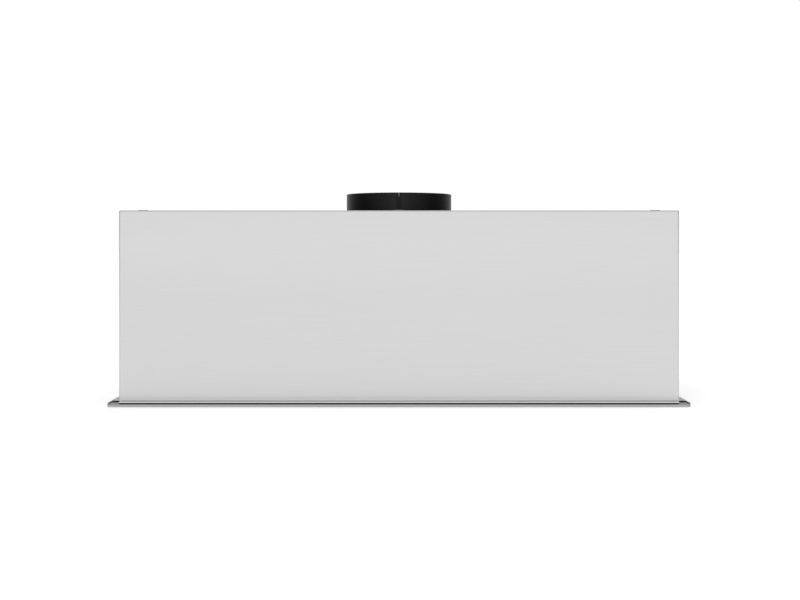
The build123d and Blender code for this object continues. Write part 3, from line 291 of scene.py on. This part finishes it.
sheet_steel = painted_shade_steel("brushed_stainless", STAINLESS, 0.34)
frame_steel = brushed_steel("frame_stainless", (0.43, 0.43, 0.43), 0.34)
bezel_steel = brushed_steel("bezel_stainless", STAINLESS, 0.30, cloud=30)
screw_steel = brushed_steel("screw_stainless", (0.42, 0.42, 0.42), 0.36, cloud=90)
roof_steel = brushed_steel("roof_sheet", (0.64, 0.64, 0.64), 0.40, cloud=9)
filter_steel = brushed_steel("filter_stainless", (0.58,) * 3, 0.34, depth=3e-6, contrast=0.02, cloud=8)
spring_steel = brushed_steel("spring_steel", (0.42, 0.43, 0.46), 0.30, cloud=40)
print("brushed steels ready")

# %% [markdown]
# Zinc. Hot-dipped sheet, as on the blower, shows spangle: flat crystals about a centimetre wide, each
# reflecting a little differently. Cells of a random pattern give one shade per crystal. Plated screws are
# smoother and carry a faint blue and yellow film instead.

# %% Galvanised sheet and plated steel
SPANGLES = 95
BLUE_FILM = (0.92, 0.95, 1.0)
YELLOW_FILM = (1.0, 1.0, 0.9)


def through_film(colour, film):
    """The colour behind a thin film that lets a share of each of its parts through."""
    return tuple(part * share for part, share in zip(colour, film))


def galvanised(name, colour):
    """Zinc crystals, each with its own shade and gloss."""
    material = start_finish(name, colour, metallic=0.9, roughness=0.42)
    wavy = noise(material, place(material), scale=60, detail=3)
    cells = add_node(material, "ShaderNodeTexVoronoi", scale=SPANGLES)
    link(material, place(material), cells.inputs["Vector"])
    grey = add_node(material, "ShaderNodeRGBToBW")
    link(material, cells.outputs["Color"], grey.inputs["Color"])
    mixed = mix_numbers(material, 0.3, grey.outputs["Val"], wavy)
    two_tone(material, mixed, shade(colour, 0.80), shade(colour, 1.16))
    gloss(material, mixed, smooth=0.30, rough=0.52)
    relief(material, mixed, height=2e-5, strength=0.6)
    return material


def plated(name, colour, roughness):
    """Bright plating with a faint two-colour film and fine turning marks."""
    material = start_finish(name, colour, metallic=1.0, roughness=roughness)
    film = noise(material, place(material), scale=240, detail=3)
    two_tone(material, film, through_film(colour, BLUE_FILM), through_film(colour, YELLOW_FILM))
    fine = noise(material, place(material), scale=2600, detail=1)
    gloss(material, fine, smooth=roughness - 0.06, rough=roughness + 0.08)
    relief(material, fine, height=1e-5)
    return material


zinc_sheet = galvanised("galvanised_sheet", (0.56, 0.58, 0.59))
wheel_sheet = galvanised("wheel_sheet", (0.62, 0.63, 0.64))
zinc_plating = plated("zinc_plating", (0.74, 0.74, 0.73), 0.26)
print("zinc finishes ready")

# %% [markdown]
# Moulded plastic. The mould's skin is etched, so the plastic comes out with a very fine pebble grain and
# slow changes of gloss where it flowed. One function serves every moulded piece: it takes the colour, the
# gloss, and how coarse and deep the grain is.

# %% Moulded plastic and rubber


def moulded(name, colour, roughness, grain=1800, depth=3e-5, drift=0.05):
    """Plastic with a pebble grain and a slow drift of gloss."""
    material = start_finish(name, colour, metallic=0.0, roughness=roughness)
    pebbles = noise(material, place(material), grain, detail=2)
    flow = noise(material, place(material), scale=18, detail=3)
    two_tone(material, flow, shade(colour, 0.88), shade(colour, 1.12))
    gloss(material, flow, smooth=roughness - drift, rough=roughness + drift)
    relief(material, pebbles, depth)
    return material


flap_black = moulded("flap_black", (0.016, 0.016, 0.016), 0.36)
bezel_black = moulded("bezel_black", (0.012, 0.012, 0.013), 0.16, grain=400, depth=4e-6, drift=0.03)
cover_black = moulded("cover_black", (0.05, 0.05, 0.053), 0.50)
block_white = moulded("block_white", (0.72, 0.72, 0.69), 0.42)
capacitor_grey = moulded("capacitor_grey", (0.58, 0.58, 0.56), 0.38)
bush_rubber = moulded("bush_rubber", (0.022, 0.022, 0.023), 0.62, grain=900, depth=6e-5)
sheath_black = moulded("sheath_black", (0.035, 0.035, 0.037), 0.48, grain=700, depth=3e-5)
print("moulded finishes ready")

# %% [markdown]
# The duct collar is a glossy black moulding. Its colour carries painted light: a painted highlight on both
# sides of the groove in the middle of its front, black in the groove, and painted shade that darkens it
# towards its sides. A table says how much: distances from the middle in metres, each with a share of the
# colour. Its shine is turned down, or the white studio would leave it grey.

# %% The duct collar's finish
COLLAR_SPECULAR = 0.18
# Painted highlight and shade: distances from the middle in metres, each with a share of the collar's
# colour.
COLLAR_PAINTED_LIGHT = (
    (0, 0.05),
    (0.002, 0.10),
    (0.0045, 1.0),
    (0.010, 1.0),
    (0.015, 0.50),
    (0.030, 0.30),
    (0.050, 0.06),
)
collar_black = moulded("collar_black", (0.012, 0.0115, 0.012), 0.26)
from_middle = reckon(collar_black, "ABSOLUTE", split_place(collar_black)["X"])
# The painted highlight and shade multiply the collar's colour.
colour_times(collar_black, stepped(collar_black, from_middle, COLLAR_PAINTED_LIGHT))
shader_of(collar_black).inputs["Specular IOR Level"].default_value = COLLAR_SPECULAR
print("collar finish ready, shares:", len(COLLAR_PAINTED_LIGHT))

# %% [markdown]
# The motor. Its shells are dipped in black enamel that dries with a slight orange peel. Inside, the
# stator is a stack of thin stampings with copper windings at both ends. Both are one solid here, so the
# finish looks at how far along the shaft a point lies: stampings in the middle, copper beyond them.

# %% Motor finishes
stator_low, stator_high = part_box("motor_stator")
WINDING_SHARE = 0.2
winding = (stator_high[0] - stator_low[0]) * WINDING_SHARE
SHEETS_PER_METRE = 2000
ROTOR_SHEETS_PER_METRE = 900
BARE_STEEL = (0.45, 0.45, 0.46)
COPPER = (0.52, 0.20, 0.07)


def enamel(name, colour):
    """Dipped enamel with orange peel."""
    material = start_finish(name, colour, metallic=0.0, roughness=0.28)
    peel = noise(material, place(material), scale=420, detail=2)
    dust = noise(material, place(material), scale=35, detail=4)
    two_tone(material, dust, shade(colour, 0.85), shade(colour, 1.25))
    gloss(material, dust, smooth=0.24, rough=0.36)
    relief(material, peel, height=6e-5)
    return material


def ringed_steel(name, colour, rings):
    """Turned or stacked steel: bands across the shaft."""
    material = start_finish(name, colour, metallic=1.0, roughness=0.34)
    bands = add_node(material, "ShaderNodeTexWave", scale=rings / (2 * pi), distortion=0.0)
    link(material, place(material), bands.inputs["Vector"])
    two_tone(material, bands.outputs["Fac"], shade(colour, 0.8), shade(colour, 1.1))
    relief(material, bands.outputs["Fac"], height=3e-5)
    return material


def stator_finish(name):
    """Steel stampings between two copper windings."""
    material = ringed_steel(name, BARE_STEEL, SHEETS_PER_METRE)
    steel_colour = shader_of(material).inputs["Base Color"].links[0].from_socket
    middle = (stator_low[0] + stator_high[0]) / 2
    reach = (stator_high[0] - stator_low[0]) / 2 - winding
    along_shaft = reckon(material, "SUBTRACT", split_place(material)["X"], middle)
    off_centre = reckon(material, "ABSOLUTE", along_shaft)
    beyond = reckon(material, "GREATER_THAN", off_centre, reach)
    either = mix_colours(material, beyond, steel_colour, COPPER)
    link(material, either, shader_of(material).inputs["Base Color"])
    return material


motor_enamel = enamel("motor_enamel", (0.02, 0.02, 0.022))
rotor_steel = ringed_steel("rotor_steel", BARE_STEEL, ROTOR_SHEETS_PER_METRE)
stator_mix = stator_finish("stator_steel_and_copper")
print("motor finishes ready, winding length:", round(winding, 4))

# %% [markdown]
# The lights and the controls. The lens is frosted and moulded with small pillow-shaped facets that hide
# the points of light behind it. Behind it sits a white board whose diodes wear a yellow coating: they
# hang lowest on the board, so height tells them from the board.

# %% Light and control finishes
FACETS = 260
BOARD_LACQUER = (0.85, 0.85, 0.82)
DIODE_COATING = (0.86, 0.62, 0.08)
TRACKS_PER_METRE = 220
TRACK_WIDTH = 0.03
DEEP_GREEN = (0.015, 0.15, 0.05)
FRESH_GREEN = (0.02, 0.19, 0.065)
TRACK_GREEN = (0.05, 0.30, 0.12)


def frosted_lens(name):
    """Clear plastic with a faceted, frosted face."""
    material = start_finish(name, (0.93, 0.94, 0.95), metallic=0.0, roughness=0.34)
    shader = shader_of(material)
    shader.inputs["Transmission Weight"].default_value = 0.75
    shader.inputs["IOR"].default_value = 1.49
    facets = add_node(material, "ShaderNodeTexVoronoi", scale=FACETS)
    link(material, place(material), facets.inputs["Vector"])
    relief(material, facets.outputs["Distance"], height=2.5e-4, strength=0.7)
    haze = noise(material, place(material), scale=90, detail=3)
    gloss(material, haze, smooth=0.28, rough=0.42)
    return material


def light_board(name, diode_level):
    """A white board with yellow diodes below diode_level."""
    material = start_finish(name, BOARD_LACQUER, metallic=0.0, roughness=0.4)
    is_diode = reckon(material, "LESS_THAN", split_place(material)["Z"], diode_level)
    two_tone(material, is_diode, BOARD_LACQUER, DIODE_COATING)
    mask = noise(material, place(material), scale=700, detail=2)
    gloss(material, mask, smooth=0.34, rough=0.5)
    relief(material, mask, height=2e-5)
    return material


def circuit_board(name):
    """Green lacquer over copper tracks."""
    material = start_finish(name, (0.02, 0.18, 0.06), metallic=0.0, roughness=0.35)
    tracks = add_node(material, "ShaderNodeTexBrick", scale=TRACKS_PER_METRE, mortar_size=TRACK_WIDTH)
    for socket, green in (("Color1", DEEP_GREEN), ("Color2", FRESH_GREEN), ("Mortar", TRACK_GREEN)):
        tracks.inputs[socket].default_value = (*green, 1)
    link(material, place(material), tracks.inputs["Vector"])
    link(material, tracks.outputs["Color"], shader_of(material).inputs["Base Color"])
    relief(material, tracks.outputs["Fac"], height=3e-5)
    return material


DIODE_SHARE = 0.3
board_low, board_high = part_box("led_board_left")
diode_level = board_low[2] + (board_high[2] - board_low[2]) * DIODE_SHARE
lens_plastic = frosted_lens("frosted_lens")
board_white = light_board("light_board", diode_level)
board_green = circuit_board("circuit_board")
button_silver = plated("button_silver", (0.62, 0.62, 0.63), 0.30)
print("light finishes ready, diode level:", round(diode_level, 4))

# %% [markdown]
# Now each solid gets its finish. A table from finish to pieces keeps this in one place, and a check at
# its end says if a solid was forgotten. A star at a name's end takes every piece that starts that way.

# %% Give every solid its finish
FINISHES = (
    (sheet_steel, "body_shell rear_panel"),
    (frame_steel, "face_frame"),
    (bezel_steel, "led_bezel*"),
    (roof_steel, "top_panel"),
    (screw_steel, "top_screws"),
    (filter_steel, "filter_frame* filter_baffles* filter_handle*"),
    (spring_steel, "filter_catch*"),
    (zinc_sheet, "scroll* inlet_ring* electrical_box electrical_cover motor_spider"),
    (wheel_sheet, "impeller impeller_blades"),
    (zinc_plating, "rear_screws frame_screws collar_screws inner_screws impeller_nut"),
    (zinc_plating, "motor_shaft damper_axle motor_bearings"),
    (collar_black, "duct_collar"),
    (flap_black, "damper_flap*"),
    (bezel_black, "control_bezel"),
    (cover_black, "control_cover"),
    (block_white, "terminal_block led_driver switch_bodies"),
    (capacitor_grey, "capacitor"),
    (bush_rubber, "cable_grommet flange_gasket"),
    (sheath_black, "motor_lead control_leads"),
    (motor_enamel, "motor_shell*"),
    (rotor_steel, "motor_rotor"),
    (stator_mix, "motor_stator"),
    (lens_plastic, "led_lens*"),
    (board_white, "led_board*"),
    (board_green, "control_board"),
    (button_silver, "button*"),
)


def matches(name, pattern):
    if pattern.endswith("*"):
        return name.startswith(pattern[:-1])
    return name == pattern


finished = set()
for material, patterns in FINISHES:
    for name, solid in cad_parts.items():
        if any(matches(name, pattern) for pattern in patterns.split()):
            solid.data.materials.clear()
            solid.data.materials.append(material)
            finished.add(name)
print("finished:", len(finished), "left over:", sorted(set(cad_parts) - finished))

# %% [markdown]
# The foam seal between the two rims is squeezed by the screws, so its outer edge bulges a little. The
# solid is a flat strip, stepped in at each corner. A mesh strip that follows the same outline, with a
# round edge in section, shows the bulge, and it takes the strip's place. Four sizes set the outline: how
# far the strip reaches past the box's walls, where it stops short of a corner on the sides and on the
# front, and the sheet's thickness, which its inner edge follows.

# %% The foam seal's outline
seal_low, seal_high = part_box("flange_gasket")
SEAL_REACH = 0.0095
SEAL_SETBACK = 0.0120
SEAL_CORNER = 0.0026
SEAL_WALL = 0.0012


def foam(name):
    """Closed-cell foam: small pits in matt black."""
    material = start_finish(name, (0.014, 0.014, 0.014), metallic=0.0, roughness=0.85)
    shader_of(material).inputs["Specular IOR Level"].default_value = 0.1
    pits = add_node(material, "ShaderNodeTexVoronoi", scale=1600)
    link(material, place(material), pits.inputs["Vector"])
    two_tone(material, pits.outputs["Distance"], (0.003, 0.003, 0.003), (0.016, 0.016, 0.016))
    relief(material, pits.outputs["Distance"], height=2e-4)
    return material


def seal_outline(inset):
    """The strip's outer corners, drawn in by inset."""
    far_x = seal_high[0] - inset
    far_y = seal_high[1] - inset
    wall_x = far_x - SEAL_REACH
    wall_y = far_y - SEAL_REACH
    side_y = wall_y - SEAL_SETBACK
    front_x = wall_x - SEAL_CORNER
    quarter = [(far_x, side_y), (wall_x, side_y), (wall_x, wall_y), (front_x, wall_y), (front_x, far_y)]
    second = [(-x, y) for x, y in reversed(quarter)]
    third = [(-x, -y) for x, y in quarter]
    fourth = [(x, -y) for x, y in reversed(quarter)]
    return quarter + second + third + fourth


def seal_bore(x, y):
    """The point of the strip's inner edge that lies nearest."""
    reach_x = seal_high[0] - SEAL_REACH - SEAL_WALL
    front = seal_low[1] + SEAL_REACH + SEAL_WALL
    rear = seal_high[1] - SEAL_REACH - 2 * SEAL_WALL
    return (max(-reach_x, min(reach_x, x)), max(front, min(rear, y)))


print("seal outline corners:", len(seal_outline(0)))

# %% [markdown]
# In section the seal's outer edge is a shallow bulge between its flat faces. Rings of points run round the
# strip from its inner edge below, over the bulge, to its inner edge above. Joined, they are a closed skin.

# %% The foam seal's skin
SEAL_BULGE = 0.0004
SEAL_STEPS = 6
SAME_POINT_DIGITS = 7


def seal_rings():
    """Rings of points round the strip: inner edge, bulged outer edge from below to above, inner edge."""
    bottom, top = seal_low[2], seal_high[2]
    inner = [seal_bore(x, y) for x, y in seal_outline(0)]
    rings = [[(x, y, bottom) for x, y in inner]]
    for step in range(SEAL_STEPS + 1):
        turn = pi * step / SEAL_STEPS
        height = bottom + (top - bottom) * (1 - cos(turn)) / 2
        rings.append([(x, y, height) for x, y in seal_outline(SEAL_BULGE * (1 - sin(turn)))])
    rings.append([(x, y, top) for x, y in inner])
    return rings


def join_rings(mesh, rings):
    """Corners for the mesh, ring by ring; points in one place share a corner."""
    corners = {}
    for ring in rings:
        for point in ring:
            key = tuple(round(value, SAME_POINT_DIGITS) for value in point)
            if key not in corners:
                corners[key] = mesh.verts.new(key)
            yield corners[key]


def make_seal():
    """The rings joined into a closed skin; corners that share an inner point make triangles there."""
    mesh = bmesh.new()
    points = seal_rings()
    joined = list(join_rings(mesh, points))
    length = len(points[0])
    rings = [joined[start : start + length] for start in range(0, len(joined), length)]
    for ring, following in zip(rings, rings[1:] + rings[:1]):
        for index in range(len(ring)):
            after = (index + 1) % len(ring)
            loop = [ring[index], ring[after], following[after], following[index]]
            unique = list(dict.fromkeys(loop))
            if len(unique) > 2:
                mesh.faces.new(unique)
    bmesh.ops.recalc_face_normals(mesh, faces=mesh.faces)
    data = bpy.data.meshes.new("foam_seal")
    mesh.to_mesh(data)
    mesh.free()
    seal = bpy.data.objects.new("foam_seal", data)
    bpy.context.scene.collection.objects.link(seal)
    data.materials.append(foam("seal_foam"))
    return seal


seal = make_seal()
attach(seal, "housing")
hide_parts("flange_gasket")
print("seal faces:", len(seal.data.polygons))

# %% [markdown]
# The floor. It is white to the eye but still catches the hood's shadow. A faint glow, which only the eye
# and mirrors see, lifts it to the white of the backdrop. It lets light through from below, where nothing
# stands on it, and it throws none back at matt surfaces.

# %% The floor
FLOOR_REACH = 40
FLOOR_CELLS = 4
FLOOR_WHITE = 0.90
FLOOR_LIFT = 0.32


def make_floor():
    """A flat grid, wide enough to fill every view."""
    mesh = bmesh.new()
    bmesh.ops.create_grid(mesh, x_segments=FLOOR_CELLS, y_segments=FLOOR_CELLS, size=FLOOR_REACH)
    data = bpy.data.meshes.new("floor")
    mesh.to_mesh(data)
    mesh.free()
    floor = bpy.data.objects.new("floor", data)
    bpy.context.scene.collection.objects.link(floor)
    return floor


def choose_shader(material, factor, otherwise, chosen):
    """One surface or backdrop at nought, the other at one."""
    node = add_node(material, "ShaderNodeMixShader")
    link(material, factor, node.inputs["Fac"])
    link(material, otherwise, node.inputs[1])
    link(material, chosen, node.inputs[2])
    return node.outputs["Shader"]


def floor_finish():
    """Matt white with a lift for the eye and for reflections, and clear from below."""
    material = start_finish("studio_floor", (FLOOR_WHITE,) * 3, metallic=0.0, roughness=0.9)
    rays = add_node(material, "ShaderNodeLightPath")
    seen = reckon(material, "MAXIMUM", rays.outputs["Is Camera Ray"], rays.outputs["Is Glossy Ray"])
    seen = reckon(material, "MAXIMUM", seen, rays.outputs["Is Transmission Ray"])
    glow = add_node(material, "ShaderNodeEmission")
    link(material, reckon(material, "MULTIPLY", seen, FLOOR_LIFT), glow.inputs["Strength"])
    lit = add_node(material, "ShaderNodeAddShader")
    link(material, shader_of(material).outputs["BSDF"], lit.inputs[0])
    link(material, glow.outputs["Emission"], lit.inputs[1])
    clear = add_node(material, "ShaderNodeBsdfTransparent")
    side = add_node(material, "ShaderNodeNewGeometry")
    below = side.outputs["Backfacing"]
    either = choose_shader(material, below, lit.outputs["Shader"], clear.outputs["BSDF"])
    link(material, either, material.node_tree.nodes["Material Output"].inputs["Surface"])
    return material


floor = make_floor()
floor.data.materials.append(floor_finish())
floor.location.z = low[2]
floor.visible_diffuse = False
floor.visible_shadow = False
print("floor at", floor.location.z)

# %% [markdown]
# The light from all round. A product photograph on white is lit from every side, so matt surfaces show
# hardly any gradient: they get an even, slightly dimmed white. The eye sees plain white. Reflections see
# something else, because a studio is only white in front: its sides, its ceiling and the room behind the
# hood are darker. These darker parts draw the collar's edges, the folds and the roof.

# %% The world
SKY_STRENGTH = 0.62
SIDE_SHARE = 0.15
OVERHEAD_SHARE = 0.70
BEHIND_SHARE = 0.50
WHITE = (1, 1, 1, 1)

world = bpy.data.worlds.new("studio")
bpy.context.scene.world = world
world.use_nodes = True
world.node_tree.nodes.remove(world.node_tree.nodes["Background"])


def backdrop(strength):
    """A white backdrop whose strength is a number or a socket."""
    node = add_node(world, "ShaderNodeBackground", color=WHITE)
    if isinstance(strength, bpy.types.NodeSocket):
        link(world, strength, node.inputs["Strength"])
    else:
        node.inputs["Strength"].default_value = strength
    return node.outputs["Background"]


def fade(amount, share):
    """One, sinking to share as the amount goes from nought to one."""
    squared = reckon(world, "POWER", amount, 2.0)
    return reckon(world, "SUBTRACT", 1.0, reckon(world, "MULTIPLY", squared, 1.0 - share))


way = add_node(world, "ShaderNodeTexCoord")
ways = add_node(world, "ShaderNodeSeparateXYZ")
link(world, way.outputs["Generated"], ways.inputs["Vector"])
to_side = fade(reckon(world, "ABSOLUTE", ways.outputs["X"]), SIDE_SHARE)
overhead = fade(reckon(world, "MAXIMUM", ways.outputs["Z"], 0.0), OVERHEAD_SHARE)
behind = fade(reckon(world, "MAXIMUM", ways.outputs["Y"], 0.0), BEHIND_SHARE)
mirrored = reckon(world, "MULTIPLY", reckon(world, "MULTIPLY", to_side, overhead), behind)
rays = add_node(world, "ShaderNodeLightPath")
seen = reckon(world, "MAXIMUM", rays.outputs["Is Camera Ray"], rays.outputs["Is Transmission Ray"])
unseen = choose_shader(world, rays.outputs["Is Glossy Ray"], backdrop(SKY_STRENGTH), backdrop(mirrored))
shown = choose_shader(world, seen, unseen, backdrop(1.0))
link(world, shown, world.node_tree.nodes["World Output"].inputs["Surface"])
print("sky strength:", SKY_STRENGTH)

# %% [markdown]
# Two soft suns add a little shape: one from the front left, one from behind on the right. Both are very
# wide, so no shadow has a hard edge, and neither shows in a reflection.

# %% Suns


def add_sun(name, strength, spread_degrees, tilt, turn):
    """A soft sun; tilt is from overhead and turn goes round the hood, in degrees."""
    data = bpy.data.lights.new(name, "SUN")
    data.energy = strength
    data.angle = radians(spread_degrees)
    sun = bpy.data.objects.new(name, data)
    sun.rotation_euler = (radians(tilt), 0, radians(turn))
    sun.visible_glossy = False
    bpy.context.scene.collection.objects.link(sun)
    return sun


add_sun("key_sun", strength=0.9, spread_degrees=50, tilt=38, turn=-28)
add_sun("fill_sun", strength=0.5, spread_degrees=70, tilt=50, turn=140)
print("suns placed")

# %% [markdown]
# The camera stands level in front of the hood. Its distance follows from how much smaller the duct
# collar, which stands in the middle, appears than the front edge of the face frame. Its height follows
# from how far the collar's rim bows upwards.

# %% Camera
FROM_FRONT = 1.620
EYE_HEIGHT = 0.2075
FOCAL_MM = 55.9
SENSOR_MM = 36.0
LEVEL = 90
SHIFT_RIGHT = 0.00125
SHIFT_UP = -0.0646
camera_data = bpy.data.cameras.new("camera")
camera_data.lens = FOCAL_MM
camera_data.sensor_width = SENSOR_MM
camera_data.shift_x = SHIFT_RIGHT
camera_data.shift_y = SHIFT_UP
camera = bpy.data.objects.new("camera", camera_data)
camera.location = (0, low[1] - FROM_FRONT, low[2] + EYE_HEIGHT)
camera.rotation_euler = (radians(LEVEL), 0, 0)
bpy.context.scene.collection.objects.link(camera)
bpy.context.scene.camera = camera
bpy.context.scene.view_settings.view_transform = "Standard"
print("camera at", tuple(round(value, 4) for value in camera.location))
